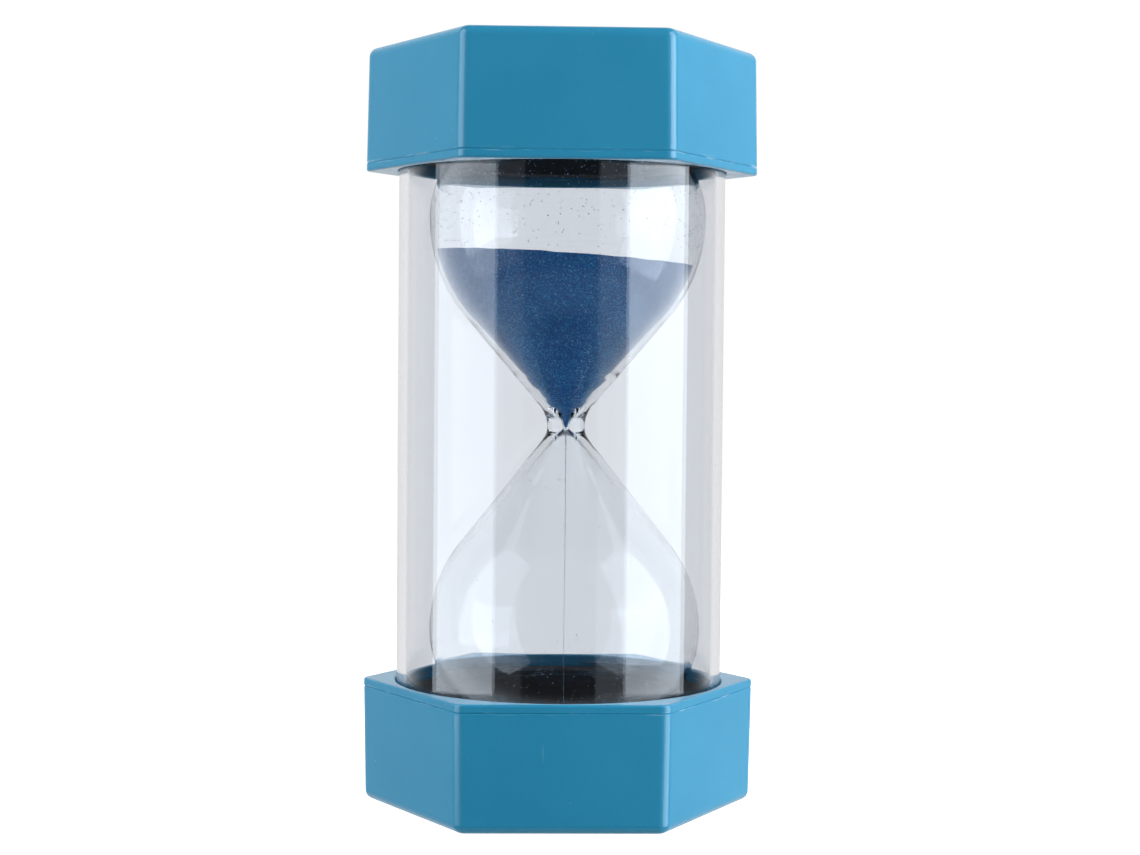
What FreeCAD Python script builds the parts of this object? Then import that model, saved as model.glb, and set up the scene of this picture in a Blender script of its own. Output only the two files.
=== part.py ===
"""Hexagonal sand timer: two moulded end caps, a clear guard tube and a blown glass with blue sand.

Millimetres, +Z up. The origin is the centre of the lower end face, the hexagon's corners lie on the
X axis and two of its flats face -Y and +Y. The upper cap is the lower cap turned upside down.
"""
import FreeCAD, Part
import math
import os

os.makedirs("parts", exist_ok=True)

# ---- driving dimensions ----
total_height = 160.0
cap_height = 26.1
cap_corner_radius_rim = 42.0      # centre to sharp corner, at the tube side
cap_corner_radius_end = 41.5      # the mould's draft makes the end face slightly smaller
corner_fillet = 2.7
inner_corner_fillet = 1.0
end_edge_fillet = 2.0
rim_edge_fillet = 0.5
bore_edge_fillet = 0.4
seam_chamfer = 0.2
collar_thickness = 1.8
cap_wall = 1.9
cap_floor = 2.2

tube_radius = 34.65
tube_wall = 2.0
tube_end_height = 12.0            # ledge inside the cap that the tube stands on
bore_clearance = 0.2

rib_ring_inner_radius = 31.0
rib_thickness = 1.6
rib_count = 3                     # walls right across the cap, 60 degrees apart
rib_well_radius = 6.5             # the ribs stop short of the filling stem
boss_circle_radius = 37.75
boss_radius = 2.2
boss_hole_radius = 1.05
boss_hole_depth = 7.0
peg_radius = 1.0
peg_length = 6.0

foam_radius = 32.4
cushion_thickness = 3.5
seat_depth_below_rim = 2.1        # the seat ring's face lies this far inside the cap's rim
foam_clearance = 0.15
cushion_hole_radius = 5.6         # room for the filling stem

# ---- the blown glass: distances along the axis are counted from the neck ----
glass_offset_x = 1.2              # hand-made glass sits a little off the tube's axis
neck_height = 80.0
glass_wall = 0.9
waist_radius = 4.0
orifice_radius = 0.45
glass_end_height = 15.5           # cap end face to the glass's flat end, at both ends
upper_bulb = {"radius": 29.4, "distance": 44.3, "shoulder_arc": 32.5, "waist_arc": 7.0}
lower_bulb = {"radius": 28.9, "distance": 43.0, "shoulder_arc": 29.0, "waist_arc": 4.5}
upper_orifice_arc = 4.0           # the inside of the throat, above and below its narrowest point
lower_orifice_arc = 1.5
stem_radius = 4.8
stem_bore_radius = 3.5
stem_length = 3.6
plug_radius = 3.42
plug_flange_radius = 4.6
plug_flange_thickness = 1.0
plug_depth = 4.0

# ---- sand ----
sand_clearance = 0.06
sand_surface_height = 115.9       # on the glass's axis
sand_surface_slope = 0.058        # falls towards +X
crater_radius = 12.5
crater_depth = 7.8
core_gap = 0.25
stream_radius = 0.2
heap_radius = 11.0
heap_edge_height = 16.95
heap_top_height = 19.2

# ---- worked out ----
seat_face_height = cap_height - seat_depth_below_rim
cushion_top_height = tube_end_height + cushion_thickness
shell_height = cap_height - collar_thickness
bore_radius = tube_radius + bore_clearance
glass_half_length = neck_height - glass_end_height
up = FreeCAD.Vector(0, 0, 1)
origin = FreeCAD.Vector(0, 0, 0)


def at(height, x=0.0):
    return FreeCAD.Vector(x, 0, height)


def ring(outer_radius, inner_radius, bottom, top):
    """A plain tube with its axis on Z."""
    outer = Part.makeCylinder(outer_radius, top - bottom, at(bottom))
    return outer.cut(Part.makeCylinder(inner_radius, top - bottom, at(bottom)))


def hexagon(corner_radius, height):
    """A closed hexagon at one height, with two corners on the X axis."""
    corners = []
    for index in range(7):
        angle = math.radians(60 * index)
        x = corner_radius * math.cos(angle)
        y = corner_radius * math.sin(angle)
        corners.append(FreeCAD.Vector(x, y, height))
    return Part.makePolygon(corners)


def upright_edges(solid):
    """The six sloping corner edges of a hexagonal prism."""
    found = []
    for edge in solid.Edges:
        rise = abs(edge.Vertexes[0].Z - edge.Vertexes[-1].Z)
        if rise > 0.5 * solid.BoundBox.ZLength:
            found.append(edge)
    return found


def edges_at(solid, height):
    """The outline of the flat face at a height."""
    found = []
    for edge in solid.Edges:
        box = edge.BoundBox
        if abs(box.ZMin - height) < 1e-4 and abs(box.ZMax - height) < 1e-4:
            found.append(edge)
    return found


def hex_prism(radius_bottom, radius_top, bottom, top, fillet):
    """A tapered hexagonal prism with rounded corner edges."""
    prism = Part.makeLoft([hexagon(radius_bottom, bottom), hexagon(radius_top, top)], True, True)
    return prism.makeFillet(fillet, upright_edges(prism))


def drafted_radius(height):
    """Corner radius of the cap's outside at a height above its end face."""
    share = height / cap_height
    return cap_corner_radius_end + share * (cap_corner_radius_rim - cap_corner_radius_end)


def corner_points():
    """Centres of the six corner bosses."""
    points = []
    for index in range(6):
        angle = math.radians(60 * index)
        points.append((boss_circle_radius * math.cos(angle), boss_circle_radius * math.sin(angle)))
    return points


def cap_shell():
    """The deep cup: rounded hexagon outside, round seat for the tube, ribs and corner bosses inside."""
    body = hex_prism(drafted_radius(0), drafted_radius(shell_height), 0, shell_height, corner_fillet)
    body = body.makeFillet(end_edge_fillet, edges_at(body, 0))
    body = body.makeChamfer(seam_chamfer, edges_at(body, shell_height))
    wall_at_corner = cap_wall / math.cos(math.radians(30))
    inner_bottom = drafted_radius(cap_floor) - wall_at_corner
    inner_top = drafted_radius(shell_height) - wall_at_corner
    cavity = hex_prism(inner_bottom, inner_top, cap_floor, shell_height, inner_corner_fillet)
    body = body.cut(cavity)
    inside = [ring(bore_radius, rib_ring_inner_radius, cap_floor, tube_end_height)]
    for index in range(rib_count):
        rib = Part.makeBox(2 * rib_ring_inner_radius + 1, rib_thickness, tube_end_height - cap_floor,
                           FreeCAD.Vector(-rib_ring_inner_radius - 0.5, -rib_thickness / 2, cap_floor))
        rib.rotate(origin, up, 60 * index)
        inside.append(rib)
    for x, y in corner_points():
        foot = FreeCAD.Vector(x, y, cap_floor)
        inside.append(Part.makeCylinder(boss_radius, shell_height - cap_floor, foot))
    body = body.fuse(inside)
    cuts = [
        Part.makeCylinder(bore_radius, shell_height - tube_end_height, at(tube_end_height)),
        Part.makeCylinder(rib_well_radius, tube_end_height - cap_floor, at(cap_floor)),
    ]
    for x, y in corner_points():
        mouth = FreeCAD.Vector(x, y, shell_height - boss_hole_depth)
        cuts.append(Part.makeCylinder(boss_hole_radius, boss_hole_depth, mouth))
    return body.cut(cuts).removeSplitter()


def cap_collar():
    """The flush plate round the tube, with six pegs pressed into the corner bosses."""
    seam_radius = drafted_radius(shell_height)
    plate = hex_prism(seam_radius, cap_corner_radius_rim, shell_height, cap_height, corner_fillet)
    plate = plate.makeFillet(rim_edge_fillet, edges_at(plate, cap_height))
    plate = plate.makeChamfer(seam_chamfer, edges_at(plate, shell_height))
    plate = plate.cut(Part.makeCylinder(bore_radius, 2 * collar_thickness, at(shell_height - 0.5)))
    bore_edge = [edge for edge in edges_at(plate, cap_height) if edge.isClosed()]
    plate = plate.makeFillet(bore_edge_fillet, bore_edge)
    pegs = []
    for x, y in corner_points():
        foot = FreeCAD.Vector(x, y, shell_height - peg_length)
        pegs.append(Part.makeCylinder(peg_radius, peg_length + 0.5, foot))
    return plate.fuse(pegs).removeSplitter()


def guard_tube():
    """The clear tube between the two ledges."""
    return ring(tube_radius, tube_radius - tube_wall, tube_end_height, total_height - tube_end_height)


def straight_slope(bulb, waist, waist_arc, grow):
    """Angle from the axis of the straight cone that touches both the waist's arc and the shoulder's."""
    neck_x = waist + waist_arc
    shoulder_x = bulb["radius"] - bulb["shoulder_arc"]
    span = math.hypot(shoulder_x - neck_x, bulb["distance"])
    lean = math.atan2(shoulder_x - neck_x, bulb["distance"])
    return lean + math.asin((waist_arc + bulb["shoulder_arc"] + grow) / span)


class Outline:
    """Collects the edges of one bulb's outline; side is +1 for the upper bulb and -1 for the lower."""

    def __init__(self, side):
        self.side = side
        self.edges = []

    def point(self, x, along):
        return FreeCAD.Vector(x, 0, neck_height + self.side * along)

    def line(self, start, end):
        self.edges.append(Part.LineSegment(self.point(*start), self.point(*end)).toShape())

    def arc(self, centre, radius, start_angle, end_angle):
        """An arc; an angle is counted from +X towards the bulb's pole."""
        points = []
        for angle in (start_angle, (start_angle + end_angle) / 2, end_angle):
            x = centre[0] + radius * math.cos(angle)
            along = centre[1] + radius * math.sin(angle)
            points.append(self.point(x, along))
        self.edges.append(Part.Arc(*points).toShape())


def on_arc(centre, radius, angle):
    return (centre[0] + radius * math.cos(angle), centre[1] + radius * math.sin(angle))


def round_waist(outline, waist, waist_arc, slope):
    """The throat's arc, hollow towards the outside; returns where the straight cone starts."""
    centre = (waist + waist_arc, 0)
    outline.arc(centre, waist_arc, math.pi, math.pi - slope)
    return on_arc(centre, waist_arc, math.pi - slope)


def cone_to_pole(outline, bulb, slope, start, grow):
    """The straight cone, the shoulder, the end's arc and its flat."""
    shoulder = bulb["shoulder_arc"] + grow
    shoulder_centre = (bulb["radius"] - bulb["shoulder_arc"], bulb["distance"])
    end_arc = glass_half_length + grow - bulb["distance"]
    end_centre = (bulb["radius"] + grow - end_arc, bulb["distance"])
    outline.line(start, on_arc(shoulder_centre, shoulder, -slope))
    outline.arc(shoulder_centre, shoulder, -slope, 0)
    outline.arc(end_centre, end_arc, 0, math.pi / 2)
    outline.line((end_centre[0], glass_half_length + grow), (0, glass_half_length + grow))


def turned_solid(upper, lower, end_distance):
    """Solid of revolution inside two outlines, on the glass's own axis."""
    edges = upper.edges + lower.edges
    edges.append(Part.LineSegment(at(neck_height + end_distance), at(neck_height - end_distance)).toShape())
    face = Part.Face(Part.Wire(Part.__sortEdges__(edges)))
    solid = face.revolve(at(neck_height), up, 360)
    solid.translate(at(0, glass_offset_x))
    return solid


def glass_outside(clearance=0.0):
    outlines = []
    for side, bulb in ((1, upper_bulb), (-1, lower_bulb)):
        outline = Outline(side)
        slope = straight_slope(bulb, waist_radius, bulb["waist_arc"], 0)
        start = round_waist(outline, waist_radius + clearance, bulb["waist_arc"] - clearance, slope)
        cone_to_pole(outline, bulb, slope, start, clearance)
        outlines.append(outline)
    return turned_solid(*outlines, glass_half_length + clearance)


def glass_inside(clearance=0.0):
    shrink = -glass_wall - clearance
    orifice = orifice_radius - clearance
    outlines = []
    for side, bulb, waist_arc in ((1, upper_bulb, upper_orifice_arc), (-1, lower_bulb, lower_orifice_arc)):
        outline = Outline(side)
        arc = waist_arc + clearance
        slope = straight_slope(bulb, orifice, arc, shrink)
        start = round_waist(outline, orifice, arc, slope)
        cone_to_pole(outline, bulb, slope, start, shrink)
        outlines.append(outline)
    return turned_solid(*outlines, glass_half_length + shrink)


def seat_ring():
    """Foam ring glued inside the tube's end; its hole follows the glass."""
    return ring(foam_radius, 1.0, cushion_top_height, seat_face_height)


def glass_vessel():
    """One piece of blown glass: two bulbs, a thick neck and an open filling stem on the upper end."""
    end = neck_height + glass_half_length
    stem_foot = at(end - glass_wall / 2, glass_offset_x)
    stem = Part.makeCylinder(stem_radius, stem_length + glass_wall / 2, stem_foot)
    glass = glass_outside().fuse(stem).cut(glass_inside())
    bore_start = at(end - 1.5 * glass_wall, glass_offset_x)
    bore = Part.makeCylinder(stem_bore_radius, stem_length + 2 * glass_wall, bore_start)
    return glass.cut(bore).removeSplitter()


def filling_plug():
    """Soft stopper in the filling stem."""
    mouth = neck_height + glass_half_length + stem_length
    plug = Part.makeCylinder(plug_radius, plug_depth, at(mouth - plug_depth, glass_offset_x))
    flange = Part.makeCylinder(plug_flange_radius, plug_flange_thickness, at(mouth, glass_offset_x))
    return plug.fuse(flange).removeSplitter()


def above_sand():
    """Everything above the sand's tilted surface."""
    block = Part.makeBox(120, 120, 60, FreeCAD.Vector(-60, -60, 0))
    block.rotate(origin, FreeCAD.Vector(0, 1, 0), math.degrees(math.atan(sand_surface_slope)))
    block.translate(at(sand_surface_height, glass_offset_x))
    return block


def crater_cone(lift):
    """Cone of sand that runs out first, point down, carried on past the surface."""
    reach = 2.0
    height = crater_depth * reach
    apex = at(sand_surface_height - crater_depth + lift, glass_offset_x)
    return Part.makeCone(0, crater_radius * reach, height, apex, up)


def upper_sand():
    """All the sand in the upper bulb, before the crater cone is parted from it."""
    below_neck = Part.makeCylinder(60, neck_height, origin)
    return glass_inside(sand_clearance).cut([above_sand(), below_neck])


def sand_heap():
    """The little sand that has already fallen: a shallow cone in the lower bulb's end."""
    corners = [at(0), at(0, heap_radius), at(heap_edge_height, heap_radius), at(heap_top_height), at(0)]
    outline = Part.makePolygon(corners)
    pile = Part.Face(outline).revolve(origin, up, 360)
    pile.translate(at(0, glass_offset_x))
    return pile.common(glass_inside(sand_clearance))


def sand_stream():
    """Thread of falling sand, from the neck to the heap."""
    length = neck_height - heap_top_height - 2 * sand_clearance
    return Part.makeCylinder(stream_radius, length, at(heap_top_height + sand_clearance, glass_offset_x))


def cushion(stem_hole):
    """Foam disc under the glass's end."""
    disc = Part.makeCylinder(foam_radius, cushion_thickness, at(tube_end_height))
    if stem_hole:
        hole_start = at(tube_end_height - 1, glass_offset_x)
        disc = disc.cut(Part.makeCylinder(cushion_hole_radius, cushion_thickness + 2, hole_start))
    return disc


def turned_over(shape):
    """The same piece at the upper end, mirrored about the timer's middle."""
    return shape.mirror(at(total_height / 2), up)


def export(name, shape):
    solids = shape.Solids
    shape = solids[0] if len(solids) == 1 else shape
    shape.exportStep("parts/" + name + ".step")
    print(f"{name:18s} solids {len(solids)} valid {shape.isValid()} volume {shape.Volume:10.1f}")


shell = cap_shell()
collar = cap_collar()
glass_room = glass_outside(foam_clearance)
sand = upper_sand()

export("lower_cap_shell", shell)
export("lower_cap_collar", collar)
export("lower_cushion", cushion(stem_hole=False))
export("lower_seat_ring", seat_ring().cut(glass_room))
export("upper_cap_shell", turned_over(shell))
export("upper_cap_collar", turned_over(collar))
export("upper_cushion", turned_over(cushion(stem_hole=True)))
export("upper_seat_ring", turned_over(seat_ring()).cut(glass_room))
export("outer_tube", guard_tube())
export("glass_vessel", glass_vessel())
export("filling_plug", filling_plug())
export("sand_reserve", sand.cut(crater_cone(0)))
export("sand_core", sand.common(crater_cone(core_gap)))
export("sand_stream", sand_stream())
export("sand_heap", sand_heap())
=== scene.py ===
import math
import random

import bmesh
import bpy
from mathutils import Matrix, Vector, noise


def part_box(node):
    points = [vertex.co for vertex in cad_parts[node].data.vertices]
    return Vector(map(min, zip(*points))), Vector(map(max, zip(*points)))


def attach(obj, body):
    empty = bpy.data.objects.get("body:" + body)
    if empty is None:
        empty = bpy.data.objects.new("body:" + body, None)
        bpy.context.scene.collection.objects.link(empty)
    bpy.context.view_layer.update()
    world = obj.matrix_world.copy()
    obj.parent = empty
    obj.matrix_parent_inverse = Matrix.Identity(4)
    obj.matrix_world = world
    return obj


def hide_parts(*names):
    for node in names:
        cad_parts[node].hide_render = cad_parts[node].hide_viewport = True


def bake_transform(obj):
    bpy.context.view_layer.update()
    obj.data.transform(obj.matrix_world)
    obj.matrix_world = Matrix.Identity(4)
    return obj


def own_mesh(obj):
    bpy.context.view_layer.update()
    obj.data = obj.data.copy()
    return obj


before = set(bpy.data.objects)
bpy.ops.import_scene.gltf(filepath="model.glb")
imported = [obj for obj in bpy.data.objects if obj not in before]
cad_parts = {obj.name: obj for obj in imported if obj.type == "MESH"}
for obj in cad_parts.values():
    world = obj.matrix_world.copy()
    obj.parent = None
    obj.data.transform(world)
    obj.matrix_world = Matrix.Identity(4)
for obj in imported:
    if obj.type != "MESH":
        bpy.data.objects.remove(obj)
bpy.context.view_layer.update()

MM = 0.001
scene = bpy.context.scene


# ---------------------------------------------------------------- small node helpers
class Nodes:
    """A node tree with short ways to add and join nodes."""

    def __init__(self, tree):
        self.tree = tree

    def add(self, kind, **settings):
        made = self.tree.nodes.new(kind)
        for key, value in settings.items():
            setattr(made, key, value)
        return made

    def feed(self, socket, value):
        """Gives an input a number, a colour or another node's output."""
        if isinstance(value, (int, float)):
            socket.default_value = value
        elif isinstance(value, tuple):
            socket.default_value = (*value, 1)
        else:
            self.tree.links.new(value, socket)

    def split(self, vector):
        """The X, Y and Z outputs of a vector, by name."""
        parts = self.add("ShaderNodeSeparateXYZ")
        self.feed(parts.inputs[0], vector)
        return parts.outputs

    def ramp(self, factor, *stops):
        """Colour ramp; each stop is (position, colour)."""
        made = self.add("ShaderNodeValToRGB")
        while len(made.color_ramp.elements) < len(stops):
            made.color_ramp.elements.new(1.0)
        for element, (position, colour) in zip(made.color_ramp.elements, stops):
            element.position = position
            element.color = (*colour, 1)
        self.feed(made.inputs["Fac"], factor)
        return made.outputs["Color"]

    def span(self, value, from_low, from_high, to_low, to_high, shape="LINEAR"):
        """Maps one range to another, and holds the value at the ends."""
        made = self.add("ShaderNodeMapRange", interpolation_type=shape)
        made.inputs["From Min"].default_value = from_low
        made.inputs["From Max"].default_value = from_high
        made.inputs["To Min"].default_value = to_low
        made.inputs["To Max"].default_value = to_high
        self.feed(made.inputs["Value"], value)
        return made.outputs["Result"]

    def math(self, operation, *values):
        made = self.add("ShaderNodeMath", operation=operation)
        for socket, value in zip(made.inputs, values):
            self.feed(socket, value)
        return made.outputs[0]

    def mixed_shader(self, factor, first, second):
        made = self.add("ShaderNodeMixShader")
        for socket, source in zip(made.inputs, (factor, first, second)):
            self.feed(socket, source)
        return made.outputs[0]


class Material(Nodes):
    """A new material's nodes, with the textures and reliefs that the surfaces share."""

    def __init__(self, name):
        self.material = bpy.data.materials.new(name)
        self.material.use_nodes = True
        super().__init__(self.material.node_tree)
        self.inputs = self.tree.nodes["Principled BSDF"].inputs
        self.shader = self.tree.nodes["Principled BSDF"].outputs[0]
        self.place = self.add("ShaderNodeTexCoord").outputs["Object"]

    def surface(self, **values):
        """Feeds the surface shader's inputs, named in small letters with _ for a space."""
        for socket in self.inputs:
            key = socket.name.lower().replace(" ", "_")
            if key in values:
                self.feed(socket, values[key])

    def stretched(self, scale):
        mapping = self.add("ShaderNodeMapping")
        mapping.inputs["Scale"].default_value = scale
        self.feed(mapping.inputs["Vector"], self.place)
        return mapping.outputs["Vector"]

    def noise(self, scale, detail=3.0, roughness=0.5, place=None):
        made = self.add("ShaderNodeTexNoise")
        made.inputs["Scale"].default_value = scale
        made.inputs["Detail"].default_value = detail
        made.inputs["Roughness"].default_value = roughness
        self.feed(made.inputs["Vector"], place or self.place)
        return made.outputs["Fac"]

    def blend(self, factor, first, second, mode="MIX"):
        made = self.add("ShaderNodeMix", data_type="RGBA", blend_type=mode)
        for socket, value in ((made.inputs[0], factor), (made.inputs[6], first), (made.inputs[7], second)):
            self.feed(socket, value)
        return made.outputs[2]

    def bump(self, height, strength, distance, after=None):
        made = self.add("ShaderNodeBump")
        made.inputs["Strength"].default_value = strength
        made.inputs["Distance"].default_value = distance
        self.feed(made.inputs["Height"], height)
        if after is not None:
            self.feed(made.inputs["Normal"], after)
        return made.outputs["Normal"]

    def grain_cells(self, grain_size):
        """Random cells of a grain's size: three random values for each, and the distance from its middle."""
        cells = self.add("ShaderNodeTexVoronoi")
        cells.inputs["Scale"].default_value = 1.0 / grain_size
        self.feed(cells.inputs["Vector"], self.place)
        pick = self.add("ShaderNodeSeparateColor")
        self.feed(pick.inputs["Color"], cells.outputs["Color"])
        return pick.outputs, cells.outputs["Distance"]


# ---------------------------------------------------------------- camera
# A studio shot from just above half height, turned and rolled a touch.
CAMERA_PLACE = Vector((-12.3, -460.3, 95.2)) * MM
CAMERA_YAW = math.radians(1.79)        # towards +X
CAMERA_PITCH = math.radians(1.91)      # downwards
CAMERA_ROLL = math.radians(0.50)
CAMERA_LENS = 68.04                    # on a 36 mm wide sensor


def make_camera():
    data = bpy.data.cameras.new("camera")
    data.sensor_fit = "HORIZONTAL"
    data.sensor_width = 36.0
    data.lens = CAMERA_LENS
    data.clip_start = 0.01
    data.clip_end = 20.0
    camera = bpy.data.objects.new("camera", data)
    scene.collection.objects.link(camera)
    forward = Vector((
        math.sin(CAMERA_YAW) * math.cos(CAMERA_PITCH),
        math.cos(CAMERA_YAW) * math.cos(CAMERA_PITCH),
        -math.sin(CAMERA_PITCH),
    ))
    level_right = Vector((math.cos(CAMERA_YAW), -math.sin(CAMERA_YAW), 0.0))
    level_up = level_right.cross(forward)
    right = level_right * math.cos(CAMERA_ROLL) + level_up * math.sin(CAMERA_ROLL)
    up = right.cross(forward)
    turn = Matrix((right, up, -forward)).transposed()
    camera.matrix_world = Matrix.Translation(CAMERA_PLACE) @ turn.to_4x4()
    scene.camera = camera


make_camera()


# ---------------------------------------------------------------- lamps
SOFTBOX_DISTANCE = 0.65
SOFTBOX_LOW = -0.30
SOFTBOX_HIGH = 1.05
SOFTBOX_TINT = (0.90, 1.0, 1.10)
LEVEL_LOW = -0.15                      # heights over which a softbox's brightness varies
LEVEL_HIGH = 0.45
BRIGHTEST = 6.0
SECOND_PANEL_GAP = 0.001
SOME_BOUNCE = 0.5                      # a count of bounces above this is at least one

# Height and radiance, from the lowest up.
LEFT_LEVELS = ((-0.12, 0.9), (-0.085, 3.4), (-0.03, 2.8), (0.06, 2.5), (0.16, 2.5), (0.24, 2.7))
RIGHT_LEVELS = ((-0.12, 3.6), (-0.05, 3.1), (0.16, 4.0), (0.24, 5.8), (0.40, 3.8))
LEFT_SPILL_LEVELS = ((0.0, 0.22), (0.2, 0.22))
RIGHT_SPILL_LEVELS = ((0.0, 0.40), (0.2, 0.40))


def softbox(name, from_angle, to_angle, levels, lights=True):
    """A tall rectangular lamp beside the camera.

    Angles are degrees round +Z from the -Y axis, + towards +X. A lamp that lights nothing only shows in
    reflections. Each is made twice: once as it lights and shows in mirrors, and once, just behind, as it
    shows through glass.
    """
    lamp = lamp_panel(name, from_angle, to_angle, levels, SOFTBOX_DISTANCE, only_mirrored=False)
    lamp.visible_diffuse = lights
    lamp.visible_transmission = False
    behind_glass = lamp_panel(name + "_behind_glass", from_angle, to_angle, levels,
                              SOFTBOX_DISTANCE + SECOND_PANEL_GAP, only_mirrored=True)
    behind_glass.visible_diffuse = False
    behind_glass.visible_glossy = False


def lamp_panel(name, from_angle, to_angle, levels, distance, only_mirrored):
    """One rectangular lamp whose radiance changes with height.

    One that is only_mirrored is dark unless a mirroring surface lies between it and the eye, so that the
    glass in front of it shows the backdrop.
    """
    middle = math.radians((from_angle + to_angle) / 2)
    half = math.radians((to_angle - from_angle) / 2)
    width = 2 * distance * math.tan(half)
    height = SOFTBOX_HIGH - SOFTBOX_LOW
    data = bpy.data.lights.new(name, "AREA")
    data.shape = "RECTANGLE"
    data.size = width
    data.size_y = height
    data.energy = math.pi * width * height
    data.use_nodes = True
    n = Nodes(data.node_tree)
    place = n.split(n.add("ShaderNodeNewGeometry").outputs["Position"])
    stops = [((level - LEVEL_LOW) / (LEVEL_HIGH - LEVEL_LOW), [radiance / BRIGHTEST] * 3)
             for level, radiance in levels]
    share = n.ramp(n.span(place["Z"], LEVEL_LOW, LEVEL_HIGH, 0.0, 1.0), *stops)
    strength = n.math("MULTIPLY", share, BRIGHTEST)
    if only_mirrored:
        bounces = n.add("ShaderNodeLightPath").outputs["Glossy Depth"]
        strength = n.math("MULTIPLY", n.math("GREATER_THAN", bounces, SOME_BOUNCE), strength)
    emission = data.node_tree.nodes["Emission"]
    n.feed(emission.inputs["Strength"], strength)
    n.feed(emission.inputs["Color"], SOFTBOX_TINT)
    lamp = bpy.data.objects.new(name, data)
    scene.collection.objects.link(lamp)
    outward = Vector((math.sin(middle), -math.cos(middle), 0.0))
    lamp.location = outward * distance + Vector((0, 0, (SOFTBOX_HIGH + SOFTBOX_LOW) / 2))
    lamp.rotation_euler = outward.to_track_quat("Z", "Y").to_euler()
    lamp.visible_camera = False
    return lamp


softbox("softbox_left", -98, -47, LEFT_LEVELS)
softbox("softbox_right", 45, 95, RIGHT_LEVELS)
softbox("spill_left", -47, -27, LEFT_SPILL_LEVELS, lights=False)
softbox("spill_right", 24, 45, RIGHT_SPILL_LEVELS, lights=False)


# ---------------------------------------------------------------- surroundings
# What a ray that leaves the scene meets: a colour and a radiance.
BACKDROP = ((1, 1, 1), 1.02)
CEILING = ((0.9, 0.95, 1.0), 0.10)
DARK_STUDIO = ((0.9, 0.95, 1.0), 0.06)
LIT_TABLE = ((0.65, 1.0, 1.15), 0.8)
LIT_WALL = ((1, 1, 1), 0.9)
FILL_BELOW = ((0.95, 0.97, 1.0), 0.02)
FILL_ABOVE = ((0.95, 0.97, 1.0), 0.20)

# Where each of them takes over: the ray's direction along Y or Z at which it starts, and is full.
WALL_STARTS, WALL_IS_FULL = 0.3, 0.8
CEILING_STARTS, CEILING_IS_FULL = 0.30, 0.75
TABLE_STARTS, TABLE_IS_FULL = -0.60, -0.70
FILL_STARTS, FILL_IS_FULL = -0.35, 0.15

FLOOR_REACH = 1.2
FLOOR_GLOW = 0.85


def make_world():
    """A white backdrop, seen directly or through glass, and what the lamps leave of the room.

    Glass that bends a ray steeply upwards shows a dim ceiling. Reflections see a dark studio, bright behind
    the object and below, where the table is.
    """
    world = bpy.data.worlds.new("studio")
    scene.world = world
    world.use_nodes = True
    n = Nodes(world.node_tree)
    n.tree.nodes.clear()
    path = n.add("ShaderNodeLightPath").outputs
    direction = n.split(n.add("ShaderNodeTexCoord").outputs["Generated"])

    def background(colour, strength):
        made = n.add("ShaderNodeBackground")
        n.feed(made.inputs["Color"], colour)
        n.feed(made.inputs["Strength"], strength)
        return made.outputs[0]

    def beyond(axis, start, full):
        return n.span(direction[axis], start, full, 0.0, 1.0, "SMOOTHSTEP")

    bounces = n.math("ADD", path["Glossy Depth"], path["Diffuse Depth"])
    bent_up = n.math("MULTIPLY", path["Is Transmission Ray"], beyond("Z", CEILING_STARTS, CEILING_IS_FULL))
    backdrop = n.mixed_shader(bent_up, background(*BACKDROP), background(*CEILING))
    mirrored = n.mixed_shader(beyond("Z", TABLE_STARTS, TABLE_IS_FULL), background(*DARK_STUDIO),
                              background(*LIT_TABLE))
    mirrored = n.mixed_shader(beyond("Y", WALL_STARTS, WALL_IS_FULL), mirrored, background(*LIT_WALL))
    fill = n.mixed_shader(beyond("Z", FILL_STARTS, FILL_IS_FULL), background(*FILL_BELOW),
                          background(*FILL_ABOVE))
    bounce_light = n.mixed_shader(path["Is Diffuse Ray"], mirrored, fill)
    bounced = n.math("GREATER_THAN", bounces, SOME_BOUNCE)
    out = n.add("ShaderNodeOutputWorld")
    n.feed(out.inputs[0], n.mixed_shader(bounced, backdrop, bounce_light))


def make_floor():
    """A pale, evenly lit floor that throws nothing back on the object."""
    data = bpy.data.meshes.new("floor")
    corners = [(-FLOOR_REACH, -FLOOR_REACH, 0), (FLOOR_REACH, -FLOOR_REACH, 0),
               (FLOOR_REACH, FLOOR_REACH, 0), (-FLOOR_REACH, FLOOR_REACH, 0)]
    data.from_pydata(corners, [], [(0, 1, 2, 3)])
    floor = bpy.data.objects.new("floor", data)
    scene.collection.objects.link(floor)
    floor.visible_glossy = False
    floor.visible_diffuse = False
    floor.visible_transmission = False
    floor.visible_shadow = False
    n = Material("floor")
    n.surface(base_color=(0.8, 0.8, 0.8), roughness=0.9, specular_ior_level=0.0,
              emission_color=(1, 1, 1), emission_strength=FLOOR_GLOW)
    data.materials.append(n.material)


make_world()
make_floor()
scene.view_settings.view_transform = "Standard"


# ---------------------------------------------------------------- materials
LOWER_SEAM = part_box("lower_cap_shell")[1].z
UPPER_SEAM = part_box("upper_cap_shell")[0].z
TUBE_LOW, TUBE_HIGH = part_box("outer_tube")
TUBE_OUTER = (TUBE_HIGH.x - TUBE_LOW.x) / 2
TUBE_WALL = 2.0 * MM
TUBE_INNER = TUBE_OUTER - TUBE_WALL
SAND_GRAIN = 0.21 * MM
LOOSE_GRAIN = 0.6 * MM
FOAM_PORE = 0.5 * MM
CHALK = (0.45, 0.66, 0.74)
# pale blue painted onto a few sand grains: painted highlights
PAINTED_GLINT = (0.30, 0.58, 0.80)
IN_FIRST_WALL = 1.4                    # counts of surfaces crossed: at most one, or at least two
PAST_FIRST_WALL = 1.6
ACRYLIC_TINT = (0.846, 0.863, 0.893)
ACRYLIC_EDGE_TINT = (0.60, 0.62, 0.66)
ACRYLIC_IOR = 1.49
GLASS_TINT = (0.98, 0.99, 0.995)
GLASS_IOR = 1.47


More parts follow.
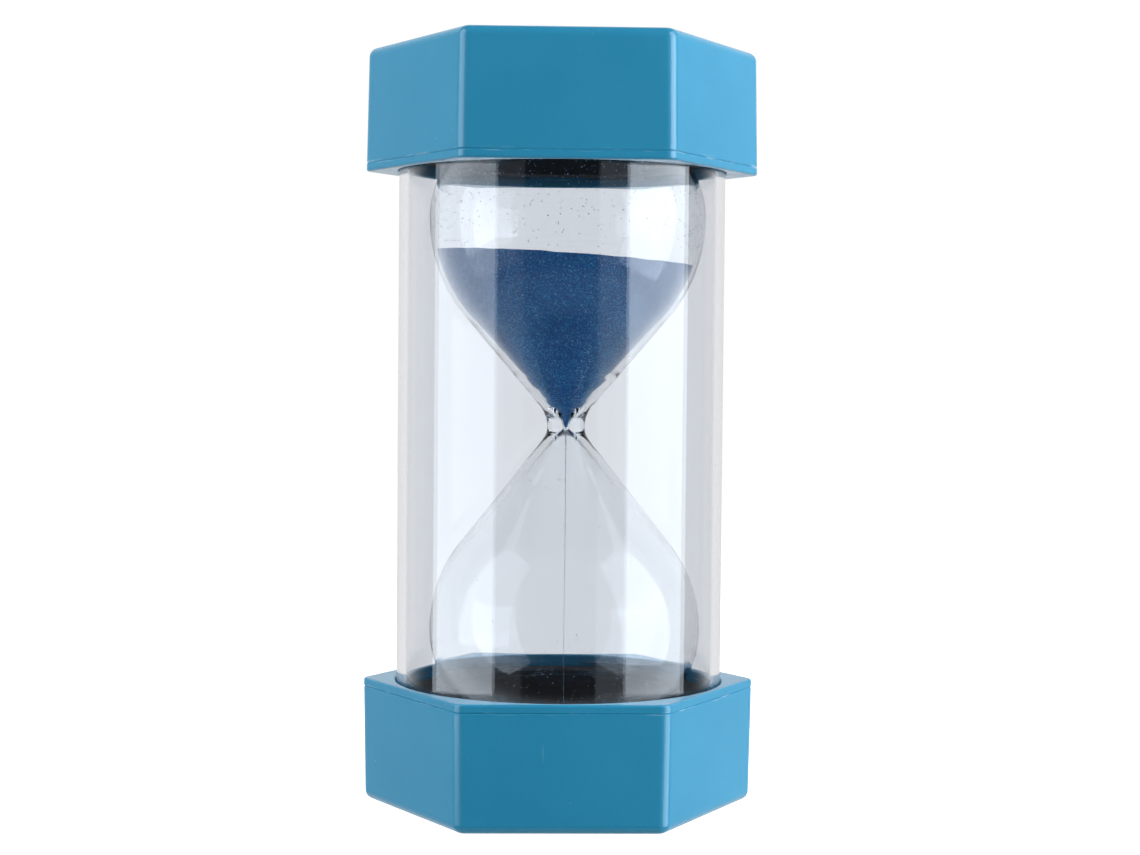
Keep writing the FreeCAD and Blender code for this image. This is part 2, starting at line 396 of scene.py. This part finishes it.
def blue_plastic():
    """Moulded satin plastic with a fine grain, a few scuffs, and chalky flash along the seams."""
    n = Material("blue_plastic")
    body = n.ramp(n.noise(35.0, 4.0), (0.3, (0.023, 0.254, 0.415)), (0.7, (0.028, 0.281, 0.452)))
    height = n.split(n.place)["Z"]
    to_lower = n.math("ABSOLUTE", n.math("SUBTRACT", height, LOWER_SEAM))
    to_upper = n.math("ABSOLUTE", n.math("SUBTRACT", height, UPPER_SEAM))
    near_seam = n.span(n.math("MINIMUM", to_lower, to_upper), 0.15 * MM, 0.50 * MM, 1.0, 0.0)
    patches = n.noise(1.0, 3.0, 0.6, n.stretched((110.0, 110.0, 2500.0)))
    flash = n.math("MULTIPLY", near_seam, n.span(patches, 0.57, 0.64, 0.0, 0.45))
    flecks = n.span(n.noise(1100.0, 2.0, 0.6), 0.73, 0.79, 0.0, 0.6)
    upright = n.noise(1.0, 2.0, 0.5, n.stretched((700.0, 700.0, 90.0)))
    scuffs = n.span(upright, 0.755, 0.80, 0.0, 0.20)
    handled = n.span(n.noise(60.0, 2.0), 0.50, 0.62, 0.0, 1.0)
    worn = n.math("MULTIPLY", n.math("MAXIMUM", flecks, scuffs), handled)
    grain = n.bump(n.noise(2600.0, 2.0), 0.30, 0.08 * MM)
    n.surface(base_color=n.blend(n.math("MAXIMUM", flash, worn), body, CHALK),
              roughness=n.span(n.noise(140.0, 3.0), 0.3, 0.7, 0.20, 0.26),
              normal=n.bump(n.noise(70.0, 2.0), 0.12, 0.4 * MM, grain),
              specular_ior_level=0.65)
    return n.material


def clear_material(name, tint, ior, near_sheen, far_sheen):
    """Clear glass or acrylic that lamps shine through.

    near_sheen scales the mirror image on the first wall that a ray meets, and far_sheen on the walls after it.
    """
    n = Material(name)
    path = n.add("ShaderNodeLightPath").outputs
    sheen = n.span(path["Transmission Depth"], IN_FIRST_WALL, PAST_FIRST_WALL, near_sheen, far_sheen)
    n.surface(base_color=tint, specular_tint=sheen, transmission_weight=1.0, ior=ior, roughness=0.0)
    through = n.add("ShaderNodeBsdfTransparent")
    n.feed(through.inputs["Color"], tint)
    surface = n.mixed_shader(path["Is Shadow Ray"], n.shader, through.outputs[0])
    n.feed(n.tree.nodes["Material Output"].inputs["Surface"], surface)
    return n


def acrylic():
    """The tube's plastic, with faint draw lines; its bore looks darker where it is seen edge-on."""
    n = clear_material("acrylic", ACRYLIC_TINT, ACRYLIC_IOR, 1.0, 0.15)
    draw_lines = n.noise(240.0, 2.0, 0.5, n.stretched((1.0, 1.0, 0.01)))
    from_axis = n.add("ShaderNodeVectorMath", operation="LENGTH")
    n.feed(from_axis.inputs[0], n.stretched((1.0, 1.0, 0.0)))
    bore = n.span(from_axis.outputs["Value"], TUBE_INNER + 0.55 * MM, TUBE_INNER + 0.95 * MM, 1.0, 0.0)
    edge_on = n.add("ShaderNodeLayerWeight")
    edge_on.inputs["Blend"].default_value = 0.5
    dark = n.math("MULTIPLY", n.span(edge_on.outputs["Facing"], 0.70, 0.86, 0.0, 1.0), bore)
    n.surface(base_color=n.blend(dark, ACRYLIC_TINT, ACRYLIC_EDGE_TINT),
              normal=n.bump(draw_lines, 0.012, 0.2 * MM))
    return n.material


def blown_glass():
    n = clear_material("blown_glass", GLASS_TINT, GLASS_IOR, 0.4, 0.4)
    ripples = n.noise(90.0, 1.0, 0.4, n.stretched((1.0, 1.0, 1.6)))
    n.surface(normal=n.bump(ripples, 0.05, 0.4 * MM))
    return n.material


def blue_sand():
    """Packed grains of several blues, with slow drifts of tone, and a few grains painted pale blue as painted
    highlights.
    """
    n = Material("blue_sand")
    pick, relief = n.grain_cells(SAND_GRAIN)
    grains = n.ramp(pick[0], (0.0, (0.002, 0.080, 0.265)), (0.6, (0.006, 0.142, 0.400)),
                    (0.9, (0.013, 0.235, 0.540)), (1.0, (0.070, 0.340, 0.590)))
    drift = n.ramp(n.noise(70.0, 3.0), (0.35, (0.88, 0.88, 0.88)), (0.65, (1.10, 1.10, 1.10)))
    # painted highlight: a few random grains painted pale blue, standing in for the glint of light off them
    painted_glints = n.span(pick[1], 0.972, 0.995, 0.0, 0.8)
    n.surface(base_color=n.blend(painted_glints, n.blend(1.0, grains, drift, "MULTIPLY"), PAINTED_GLINT),
              roughness=n.span(pick[2], 0.0, 1.0, 0.40, 0.85),
              normal=n.bump(relief, 0.6, 0.10 * MM))
    return n.material


def loose_sand():
    """Single grains seen from close by: some blue, and more of them painted pale, which is painted light
    standing in for the light that passes through them.
    """
    n = Material("loose_sand")
    pick, relief = n.grain_cells(LOOSE_GRAIN)
    # the pale stop is painted light: light through a grain painted into its colour
    n.surface(base_color=n.ramp(pick[0], (0.38, (0.02, 0.11, 0.26)), (0.50, (0.50, 0.70, 0.88))),
              roughness=n.span(pick[2], 0.0, 1.0, 0.15, 0.5),
              normal=n.bump(relief, 0.2, 0.05 * MM))
    return n.material


def black_foam():
    """Closed-cell foam, nearly black, with fine pores."""
    n = Material("black_foam")
    _, relief = n.grain_cells(FOAM_PORE)
    tone = n.ramp(n.noise(240.0, 4.0), (0.3, (0.002, 0.002, 0.003)), (0.7, (0.005, 0.005, 0.006)))
    n.surface(base_color=tone,
              roughness=n.span(relief, 0.0, 0.6, 0.95, 0.75),
              normal=n.bump(relief, 0.5, 0.2 * MM),
              specular_ior_level=0.18)
    return n.material


def plug_rubber():
    n = Material("plug_rubber")
    n.surface(base_color=n.ramp(n.noise(400.0, 3.0), (0.3, (0.62, 0.61, 0.57)), (0.7, (0.74, 0.73, 0.69))),
              normal=n.bump(n.noise(1500.0, 2.0), 0.2, 0.1 * MM),
              roughness=0.7)
    return n.material


BLUE = blue_plastic()
ACRYLIC = acrylic()
GLASS = blown_glass()
SAND = blue_sand()
GRAINS = loose_sand()
FOAM = black_foam()
RUBBER = plug_rubber()


# ---------------------------------------------------------------- mesh helpers
SAME_PLACE = 1e-6                      # points closer than this are one point
SHARP = math.radians(35)
SHARP_GLASS = math.radians(60)


def new_piece(name, mesh, material, slot, body, *replaced):
    piece = bpy.data.objects.new(name, mesh)
    scene.collection.objects.link(piece)
    mesh.materials.append(material)
    if body:
        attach(piece, body)
    if replaced:
        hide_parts(*replaced)
    return piece


def skin(name, rows, closed=False, sharp=SHARP):
    """A mesh from rings of points. Every ring has the same number of points, or a single point at a pole."""
    mesh = bpy.data.meshes.new(name)
    bm = bmesh.new()
    rings = [[bm.verts.new(point) for point in row] for row in rows]
    pairs = list(zip(rings, rings[1:]))
    if closed:
        pairs.append((rings[-1], rings[0]))
    for low, high in pairs:
        count = max(len(low), len(high))
        for step in range(count):
            after = (step + 1) % count
            if len(low) == 1:
                bm.faces.new((low[0], high[after], high[step]))
            elif len(high) == 1:
                bm.faces.new((low[step], low[after], high[0]))
            else:
                bm.faces.new((low[step], low[after], high[after], high[step]))
    bmesh.ops.recalc_face_normals(bm, faces=bm.faces)
    for face in bm.faces:
        face.smooth = True
    for edge in bm.edges:
        if len(edge.link_faces) == 2 and edge.calc_face_angle() > sharp:
            edge.smooth = False
    bm.to_mesh(mesh)
    bm.free()
    return mesh


def ring_of(radius, height, segments, centre=(0.0, 0.0), move=None):
    """Points round Z. move(x, y, z, angle) gives (outwards, upwards) for each point."""
    if radius < SAME_PLACE:
        return [(centre[0], centre[1], height)]
    points = []
    for step in range(segments):
        angle = 2 * math.pi * step / segments
        out, rise = 0.0, 0.0
        if move:
            out, rise = move(radius * math.cos(angle), radius * math.sin(angle), height, angle)
        points.append((centre[0] + (radius + out) * math.cos(angle),
                       centre[1] + (radius + out) * math.sin(angle),
                       height + rise))
    return points


def lathe(name, outline, segments, centre=(0.0, 0.0), closed=False, move=None):
    """Turns an outline of (radius, height) points round Z."""
    rows = [ring_of(radius, height, segments, centre, move) for radius, height in outline]
    return skin(name, rows, closed)


def on_arc(centre, radius, angle):
    return (centre[0] + radius * math.cos(angle), centre[1] + radius * math.sin(angle))


def arc(centre, radius, start, stop, steps):
    """Points round an arc; angles in radians from the +radius direction towards +height."""
    return [on_arc(centre, radius, start + (stop - start) * step / steps) for step in range(steps + 1)]


def line(start, stop, steps):
    """Points along a straight line, both ends included."""
    return [(start[0] + (stop[0] - start[0]) * step / steps, start[1] + (stop[1] - start[1]) * step / steps)
            for step in range(steps + 1)]


def joined(*runs):
    """Joins runs of points, leaving out points that repeat."""
    points = []
    for run in runs:
        for point in run:
            if not points or math.dist(points[-1], point) > SAME_PLACE:
                points.append(point)
    return points


def radius_at(outline, height):
    """The radius of a rising outline at a height."""
    for low, high in zip(outline, outline[1:]):
        if low[1] <= height <= high[1]:
            share = (height - low[1]) / max(high[1] - low[1], 1e-9)
            return low[0] + (high[0] - low[0]) * share
    return outline[-1][0]


def lumps(x, y, z, size, depth):
    """Smooth random relief, as deep as depth each way, with lumps about as wide as size."""
    return depth * noise.noise(Vector((x, y, z)) / size)


# ---------------------------------------------------------------- caps and plug (CAD shapes, finished here)
def refinish(node, material):
    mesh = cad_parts[node].data
    for index in range(len(mesh.materials)):
        mesh.materials[index] = material


for cap_node in ("lower_cap_shell", "lower_cap_collar", "upper_cap_shell", "upper_cap_collar"):
    refinish(cap_node, BLUE)
refinish("filling_plug", RUBBER)


# ---------------------------------------------------------------- guard tube
TUBE_CHAMFER = 0.25 * MM
TUBE_SEGMENTS = 256


def make_tube():
    top = TUBE_HIGH.z
    bottom = TUBE_LOW.z
    outside = line((TUBE_OUTER, bottom + TUBE_CHAMFER), (TUBE_OUTER, top - TUBE_CHAMFER), 12)
    inside = line((TUBE_INNER, top - TUBE_CHAMFER), (TUBE_INNER, bottom + TUBE_CHAMFER), 12)
    top_end = [(TUBE_OUTER - TUBE_CHAMFER, top), (TUBE_INNER + TUBE_CHAMFER, top)]
    bottom_end = [(TUBE_INNER + TUBE_CHAMFER, bottom), (TUBE_OUTER - TUBE_CHAMFER, bottom)]
    mesh = lathe("guard_tube", joined(outside, top_end, inside, bottom_end), TUBE_SEGMENTS, closed=True)
    new_piece("guard_tube", mesh, ACRYLIC, "clear_plastic", "case", "outer_tube")


make_tube()


# ---------------------------------------------------------------- blown glass
# Distances along the axis are counted from the neck, and the outline is the CAD glass's own.
GLASS_LOW, GLASS_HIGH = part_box("glass_vessel")
NECK_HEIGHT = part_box("sand_reserve")[0].z
GLASS_CENTRE = ((GLASS_LOW.x + GLASS_HIGH.x) / 2, 0.0)
HALF_LENGTH = NECK_HEIGHT - GLASS_LOW.z
WALL = 0.9 * MM
WAIST = 4.0 * MM
ORIFICE = 0.45 * MM
UPPER = {"radius": 29.4 * MM, "distance": 44.3 * MM, "shoulder": 32.5 * MM, "waist_arc": 7.0 * MM,
         "orifice_arc": 4.0 * MM}
LOWER = {"radius": 28.9 * MM, "distance": 43.0 * MM, "shoulder": 29.0 * MM, "waist_arc": 4.5 * MM,
         "orifice_arc": 1.5 * MM}
STEM_LENGTH = 3.6 * MM
STEM_RADIUS = 4.8 * MM
STEM_BORE = 3.5 * MM
STEM_LIP = 0.3 * MM
GLASS_SEGMENTS = 192
WAVE_SIZE = 13 * MM
WAVE_DEPTH = 0.03 * MM

# Marks of the lamp work on the outside of the neck: height above the neck, depth and width, in mm.
NECK_RINGS = ((10.4, 0.11, 0.5), (8.2, -0.08, 0.7), (5.7, 0.14, 0.45), (4.3, -0.11, 0.4), (2.6, 0.06, 0.4),
              (-2.4, 0.08, 0.4), (-4.2, -0.08, 0.6), (-8.0, 0.06, 1.0), (-12.0, -0.06, 1.4))
RING_UNEVENNESS = 0.45                 # a ring is this much deeper on one side
RING_TURN = 2.1                        # and that side moves on by this angle from ring to ring


def straight_slope(bulb, waist, waist_arc, grow):
    """Angle from the axis of the straight cone that touches both the waist's arc and the shoulder's."""
    neck_x = waist + waist_arc
    shoulder_x = bulb["radius"] - bulb["shoulder"]
    lean = math.atan2(shoulder_x - neck_x, bulb["distance"])
    span = math.hypot(shoulder_x - neck_x, bulb["distance"])
    return lean + math.asin((waist_arc + bulb["shoulder"] + grow) / span)


def neck_to_pole(bulb, waist, waist_arc, grow):
    """One bulb's outline: the round waist, the straight cone, the shoulder, the end's arc and its flat."""
    slope = straight_slope(bulb, waist, waist_arc, grow)
    neck = arc((waist + waist_arc, 0), waist_arc, math.pi, math.pi - slope, 28)
    centre = (bulb["radius"] - bulb["shoulder"], bulb["distance"])
    shoulder = arc(centre, bulb["shoulder"] + grow, -slope, 0, 30)
    end_arc = HALF_LENGTH + grow - bulb["distance"]
    end = arc((bulb["radius"] + grow - end_arc, bulb["distance"]), end_arc, 0, math.pi / 2, 24)
    return joined(neck, line(neck[-1], shoulder[0], 40), shoulder, end, line(end[-1], (0, end[-1][1]), 4))


def outside_outline(bulb):
    return neck_to_pole(bulb, WAIST, bulb["waist_arc"], 0)


def inside_outline(bulb, clearance=0.0):
    return neck_to_pole(bulb, ORIFICE - clearance, bulb["orifice_arc"] + clearance, -WALL - clearance)


def placed(side, outline):
    """Heights in the row frame; side is +1 for the upper bulb and -1 for the lower."""
    return [(radius, NECK_HEIGHT + side * along) for radius, along in outline]


def hand_blown(x, y, z, angle):
    """The outside isn't quite true: rings left by the lamp at the neck, and slow waves over the bulbs."""
    along = (z - NECK_HEIGHT) / MM
    out = 0.0
    for index, (height, depth, width) in enumerate(NECK_RINGS):
        uneven = 1 + RING_UNEVENNESS * math.cos(angle + RING_TURN * index)
        out += depth * uneven * math.exp(-((along - height) / width) ** 2)
    return out * MM + lumps(x, y, z, WAVE_SIZE, WAVE_DEPTH), 0.0


def make_glass():
    """One closed skin: outside from the lower pole up, over the filling stem, and back down the inside."""
    end = NECK_HEIGHT + HALF_LENGTH
    top = end + STEM_LENGTH
    end_face = end - 4 * WALL              # above this, the stem opens the bulb's end
    upper_outside = [p for p in placed(1, outside_outline(UPPER)) if p[0] > STEM_RADIUS or p[1] < end_face]
    upper_inside = [p for p in placed(1, inside_outline(UPPER)) if p[0] > STEM_BORE or p[1] < end_face]
    outside = joined(reversed(placed(-1, outside_outline(LOWER))), upper_outside)
    inside = joined(reversed(upper_inside), placed(-1, inside_outline(LOWER)))
    fillet = 1.5 * STEM_LIP
    stem = [(STEM_RADIUS + fillet, end), (STEM_RADIUS, end + fillet), (STEM_RADIUS, top - STEM_LIP),
            (STEM_RADIUS - STEM_LIP, top), (STEM_BORE + STEM_LIP, top), (STEM_BORE, top - STEM_LIP),
            (STEM_BORE, end - WALL + STEM_LIP), (STEM_BORE + STEM_LIP, end - WALL)]
    rows = [ring_of(r, z, GLASS_SEGMENTS, GLASS_CENTRE, hand_blown) for r, z in outside]
    rows += [ring_of(r, z, GLASS_SEGMENTS, GLASS_CENTRE) for r, z in stem + inside]
    mesh = skin("blown_glass", rows, sharp=SHARP_GLASS)
    new_piece("blown_glass", mesh, GLASS, "clear_glass", "case", "glass_vessel")


make_glass()


# ---------------------------------------------------------------- packed sand
SAND_CLEARANCE = 0.06 * MM
SURFACE_HEIGHT = 115.9 * MM            # on the glass's axis
SURFACE_SLOPE = 0.058                  # falls towards +X
FIXED_BELOW = SURFACE_HEIGHT - 12 * MM     # lower than any part of the surface
EDGE_LIMIT = SURFACE_HEIGHT + 6 * MM       # higher than any part of it
CRATER_DEPTH = 7.8 * MM
CRATER_SLOPE = 7.8 / 12.5
CRATER_APEX = SURFACE_HEIGHT - CRATER_DEPTH
CORE_GAP = 0.25 * MM
CORE_FOOT = CRATER_APEX + CORE_GAP
WALL_STEPS, TOP_STEPS, CONE_STEPS = 12, 14, 10
SAND_SEGMENTS = 160
WIDE_DRIFT = (4 * MM, 0.16 * MM)       # size and depth of the surface's unevenness
FINE_DRIFT = (1.3 * MM, 0.07 * MM)
HEAP_DRIFT = (2.5 * MM, 0.15 * MM)
HEAP_RADIUS = 11.0 * MM
HEAP_EDGE = 16.95 * MM
HEAP_SEGMENTS = 96
HEAP_DRIFT_REACH = 0.6 * MM            # the drifts are full this far above the heap's edge


def surface_height(radius, angle):
    """The sand's top: a tilted plane with small drifts."""
    x = radius * math.cos(angle)
    y = radius * math.sin(angle)
    return SURFACE_HEIGHT - SURFACE_SLOPE * x + lumps(x, y, 0, *WIDE_DRIFT) + lumps(x, y, 1, *FINE_DRIFT)


def sand_point(radius, height, angle):
    return (GLASS_CENTRE[0] + radius * math.cos(angle), GLASS_CENTRE[1] + radius * math.sin(angle), height)


def rim_radius(angle):
    """Where the crater cone comes out of the tilted surface."""
    return CRATER_DEPTH / (CRATER_SLOPE + SURFACE_SLOPE * math.cos(angle))


def wall_line(angle):
    """Points up the glass: those well below the surface, then even steps up to it at this angle."""
    outline = placed(1, inside_outline(UPPER, SAND_CLEARANCE))
    fixed = [p for p in outline if p[1] < FIXED_BELOW]
    low = start = fixed[-1]
    for high in [p for p in outline if FIXED_BELOW <= p[1] < EDGE_LIMIT]:
        if high[1] > surface_height(high[0], angle):
            break
        low = high
    gap_low = surface_height(low[0], angle) - low[1]
    gap_high = high[1] - surface_height(high[0], angle)
    share = gap_low / (gap_low + gap_high)
    edge = (low[0] + (high[0] - low[0]) * share, low[1] + (high[1] - low[1]) * share)
    rising = []
    for step in range(1, WALL_STEPS):
        height = start[1] + (edge[1] - start[1]) * step / WALL_STEPS
        rising.append((radius_at(outline, height), height))
    return fixed + rising + [edge]


def make_reserve():
    """All the sand in the upper bulb but the cone that runs out first."""
    columns = []
    for segment in range(SAND_SEGMENTS):
        angle = 2 * math.pi * segment / SAND_SEGMENTS
        wall = wall_line(angle)
        edge = wall[-1][0]
        rim = rim_radius(angle)
        column = [sand_point(radius, height, angle) for radius, height in wall]
        for step in range(1, TOP_STEPS + 1):
            radius = edge + (rim - edge) * step / TOP_STEPS
            column.append(sand_point(radius, surface_height(radius, angle), angle))
        rim_height = surface_height(rim, angle)
        for step in range(1, CONE_STEPS):
            share = 1 - step / CONE_STEPS
            column.append(sand_point(rim * share, CRATER_APEX + (rim_height - CRATER_APEX) * share, angle))
        columns.append(column)
    rows = [list(row) for row in zip(*columns)]
    rows = [[sand_point(0, NECK_HEIGHT, 0)]] + rows + [[sand_point(0, CRATER_APEX, 0)]]
    mesh = skin("sand_reserve_grains", rows)
    new_piece("sand_reserve_grains", mesh, SAND, "blue_sand", "case", "sand_reserve")


def make_core():
    """The cone that runs out first. It rides on its own body, and ends under the crater."""
    columns = []
    for segment in range(SAND_SEGMENTS):
        angle = 2 * math.pi * segment / SAND_SEGMENTS
        rim = rim_radius(angle)
        rim_height = surface_height(rim, angle)
        column = []
        for step in range(1, CONE_STEPS + 1):
            height = CORE_FOOT + (rim_height - CORE_FOOT) * step / CONE_STEPS
            column.append(sand_point(rim * step / CONE_STEPS, height, angle))
        for step in range(CONE_STEPS - 1, 0, -1):
            radius = rim * step / CONE_STEPS
            column.append(sand_point(radius, surface_height(radius, angle), angle))
        columns.append(column)
    rows = [list(row) for row in zip(*columns)]
    rows = [[sand_point(0, CORE_FOOT, 0)]] + rows + [[sand_point(0, surface_height(0, 0), 0)]]
    mesh = skin("sand_core_grains", rows)
    core = new_piece("sand_core_grains", mesh, SAND, "blue_sand", "sand_level", "sand_core")
    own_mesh(core)


def make_heap():
    """The little that has fallen. Its underside lies on the glass."""
    low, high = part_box("sand_heap")
    glass = placed(-1, inside_outline(LOWER, SAND_CLEARANCE))
    dish = [p for p in glass if p[1] < HEAP_EDGE and p[0] < HEAP_RADIUS]
    slope = line((HEAP_RADIUS, HEAP_EDGE), (0, high.z), 16)
    outline = joined([(0, low.z)], reversed(dish), slope)

    def drifts(x, y, z, angle):
        on_top = max(0.0, min(1.0, (z - HEAP_EDGE) / HEAP_DRIFT_REACH))
        return 0.0, on_top * lumps(x, y, 2, *HEAP_DRIFT)

    mesh = lathe("sand_heap_grains", outline, HEAP_SEGMENTS, GLASS_CENTRE, move=drifts)
    heap = new_piece("sand_heap_grains", mesh, SAND, "blue_sand", None, "sand_heap")
    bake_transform(heap)


make_reserve()
make_core()
make_heap()


# ---------------------------------------------------------------- single grains
GRAIN_CLEARANCE = 0.12 * MM
GRAIN_LEAN = Vector((0.3, 0.5, 0.8)).normalized()      # the line that grains are turned about
TURN_PER_MM = 7919                     # large, so that neighbours point different ways
NEARLY_A_TURN = 6.28
FIRST_GAP = 0.016 * MM
FIRST_SPEED = 0.16
GRAVITY = 9.81
STREAM_RADIUS = 0.055 * MM
BUNCH_RADIUS = 0.15 * MM               # how much wider the stream is where it leaves the neck
BUNCH_LENGTH = 2.2 * MM
STREAM_SWAY = 0.10 * MM
SWAY_LENGTH = 9 * MM

# Nearest and farthest distance from the neck, count, smallest and largest size, in mm.
UPPER_GRAINS = ((38, 48, 190, 0.10, 0.17), (48, 58, 420, 0.10, 0.17), (58, 63, 320, 0.09, 0.15))
LOWER_GRAINS = ((10, 48, 60, 0.09, 0.16), (48, 56, 80, 0.09, 0.14), (56, 63.3, 240, 0.07, 0.13))


def grain_cloud(name, grains):
    """Small eight-sided grains in one mesh; each is (place, size)."""
    mesh = bpy.data.meshes.new(name)
    points, faces = [], []
    for place, size in grains:
        tips = [Vector((size, 0, 0)), Vector((0, size, 0)), Vector((-size, 0, 0)), Vector((0, -size, 0)),
                Vector((0, 0, size)), Vector((0, 0, -size))]
        turn = Matrix.Rotation(TURN_PER_MM * place.x / MM % NEARLY_A_TURN, 3, GRAIN_LEAN)
        first = len(points)
        points += [place + turn @ tip for tip in tips]
        for i in range(4):
            j = (i + 1) % 4
            faces += [(first + i, first + j, first + 4), (first + j, first + i, first + 5)]
    mesh.from_pydata(points, [], faces)
    return mesh


def make_stream():
    """Falling grains: they leave the neck as a close bunch and draw apart as they gather speed."""
    low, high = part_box("sand_stream")
    drop = high.z - low.z
    pick = random.Random(5)
    grains = []
    fallen = 0.0
    while fallen < drop:
        spread = STREAM_RADIUS + BUNCH_RADIUS * math.exp(-fallen / BUNCH_LENGTH)
        sway = STREAM_SWAY * math.sin(fallen / SWAY_LENGTH) * fallen / drop
        x = GLASS_CENTRE[0] + sway + pick.gauss(0, spread)
        y = pick.gauss(0, spread)
        grains.append((Vector((x, y, high.z - fallen)), pick.uniform(0.045, 0.075) * MM))
        speed = math.sqrt(FIRST_SPEED ** 2 + 2 * GRAVITY * fallen)
        fallen += FIRST_GAP * speed / FIRST_SPEED * pick.uniform(0.3, 1.7)
    mesh = grain_cloud("falling_grains", grains)
    stream = new_piece("falling_grains", mesh, GRAINS, "blue_sand", "case", "sand_stream")
    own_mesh(stream)


def stray_grains(name, side, bulb, zones, seed):
    """Grains that cling to the inside of the glass."""
    pick = random.Random(seed)
    outline = inside_outline(bulb, GRAIN_CLEARANCE)
    grains = []
    for near, far, count, fine, coarse in zones:
        for _ in range(count):
            along = pick.uniform(near, far) * MM
            radius = radius_at(outline, along)
            angle = pick.uniform(0, 2 * math.pi)
            place = Vector(sand_point(radius, NECK_HEIGHT + side * along, angle))
            grains.append((place, pick.uniform(fine, coarse) * MM))
    new_piece(name, grain_cloud(name, grains), GRAINS, "blue_sand", "case")


make_stream()
stray_grains("stray_grains_upper", 1, UPPER, UPPER_GRAINS, 11)
stray_grains("stray_grains_lower", -1, LOWER, LOWER_GRAINS, 12)


# ---------------------------------------------------------------- foam
FOAM_ROUNDING = 0.8 * MM
FOAM_CROWN = 0.25 * MM
FOAM_CLEARANCE = 0.15 * MM
FOAM_SEGMENTS = 144
FACE_STEPS = 14
STEM_HOLE = 5.6 * MM
HOLE_EDGE = 0.01 * MM
SMALLEST_SEAT = 9 * MM                 # the seat rings touch no glass nearer the axis than this
UNEVEN_OUT = (3.0 * MM, 0.05 * MM)     # size and depth of the foam's unevenness
UNEVEN_UP = (3.5 * MM, 0.05 * MM)


def foam_texture(x, y, z, angle):
    return lumps(x, y, z, *UNEVEN_OUT), lumps(x, y, z + 1, *UNEVEN_UP)


def crowned(inner, outer, height, side):
    """A crowned face from the inner to the outer radius, rounded at both edges. It looks up if side is +1."""
    points = []
    for step in range(FACE_STEPS + 1):
        share = step / FACE_STEPS
        radius = inner + (outer - inner) * share
        edge = min(radius - inner, outer - radius) / FOAM_ROUNDING
        rounding = FOAM_ROUNDING * (1 - math.sqrt(max(0.0, 1 - (1 - min(1.0, edge)) ** 2)))
        crown = FOAM_CROWN * (1 - 4 * share * (1 - share))
        points.append((radius, height - side * (rounding + crown)))
    return points


def foam_disc(name, node, hole):
    """A flat disc in the tube. Its hole, if it has one, is centred on the glass."""
    low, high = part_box(node)
    outer = (high.x - low.x) / 2
    rim = outer - FOAM_ROUNDING
    bottom = joined([(hole, low.z)], line((hole + HOLE_EDGE, low.z), (rim, low.z), 8),
                    arc((rim, low.z + FOAM_ROUNDING), FOAM_ROUNDING, -math.pi / 2, 0, 5))
    top = joined(arc((rim, high.z - FOAM_ROUNDING), FOAM_ROUNDING, 0, math.pi / 2, 5),
                 line((rim, high.z), (hole + HOLE_EDGE, high.z), 8), [(hole, high.z)])
    off_axis = GLASS_CENTRE[0] if hole else 0.0

    def shape(x, y, z, angle):
        out, rise = foam_texture(x, y, z, angle)
        share = max(0.0, (math.hypot(x, y) - hole) / (outer - hole))
        return out - off_axis * math.cos(angle) * share, rise

    mesh = lathe(name, joined(bottom, top), FOAM_SEGMENTS, (off_axis, 0.0), closed=hole > 0, move=shape)
    new_piece(name, mesh, FOAM, "black_foam", "case", node)


def foam_ring(name, node, side, bulb):
    """The seat on one side of the neck: its hole follows the bulb's shoulder, its outside follows the tube."""
    low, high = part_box(node)
    outer = (high.x - low.x) / 2
    face, back = (high.z, low.z) if side < 0 else (low.z, high.z)
    glass = [(radius + FOAM_CLEARANCE, height) for radius, height in placed(side, outside_outline(bulb))]
    hole = [p for p in glass if low.z < p[1] < high.z and p[0] > SMALLEST_SEAT]
    hole.sort(key=lambda p: abs(p[1] - face))
    wide = max(p[0] for p in hole)
    front = crowned(wide, outer, face, -side)
    inner_wall = [p for p in hole if abs(p[1] - face) > abs(front[0][1] - face)]
    narrow = min(p[0] for p in inner_wall)
    rim = outer - FOAM_ROUNDING
    back_face = line((narrow, back), (rim, back), 8)
    back_edge = arc((rim, back - side * FOAM_ROUNDING), FOAM_ROUNDING, side * math.pi / 2, 0, 5)
    outline = joined(reversed(front), inner_wall, back_face, back_edge)

    def shape(x, y, z, angle):
        """The hole is centred on the glass and the outside on the tube."""
        out, rise = foam_texture(x, y, z, angle)
        to_tube = max(0.0, min(1.0, (math.hypot(x, y) - wide) / (outer - wide)))
        return out * to_tube + GLASS_CENTRE[0] * math.cos(angle) * (1 - to_tube), rise * to_tube

    mesh = lathe(name, outline, FOAM_SEGMENTS, closed=True, move=shape)
    new_piece(name, mesh, FOAM, "black_foam", "case", node)


foam_disc("lower_foam_cushion", "lower_cushion", 0.0)
foam_disc("upper_foam_cushion", "upper_cushion", STEM_HOLE)
foam_ring("lower_foam_seat", "lower_seat_ring", -1, LOWER)
foam_ring("upper_foam_seat", "upper_seat_ring", 1, UPPER)
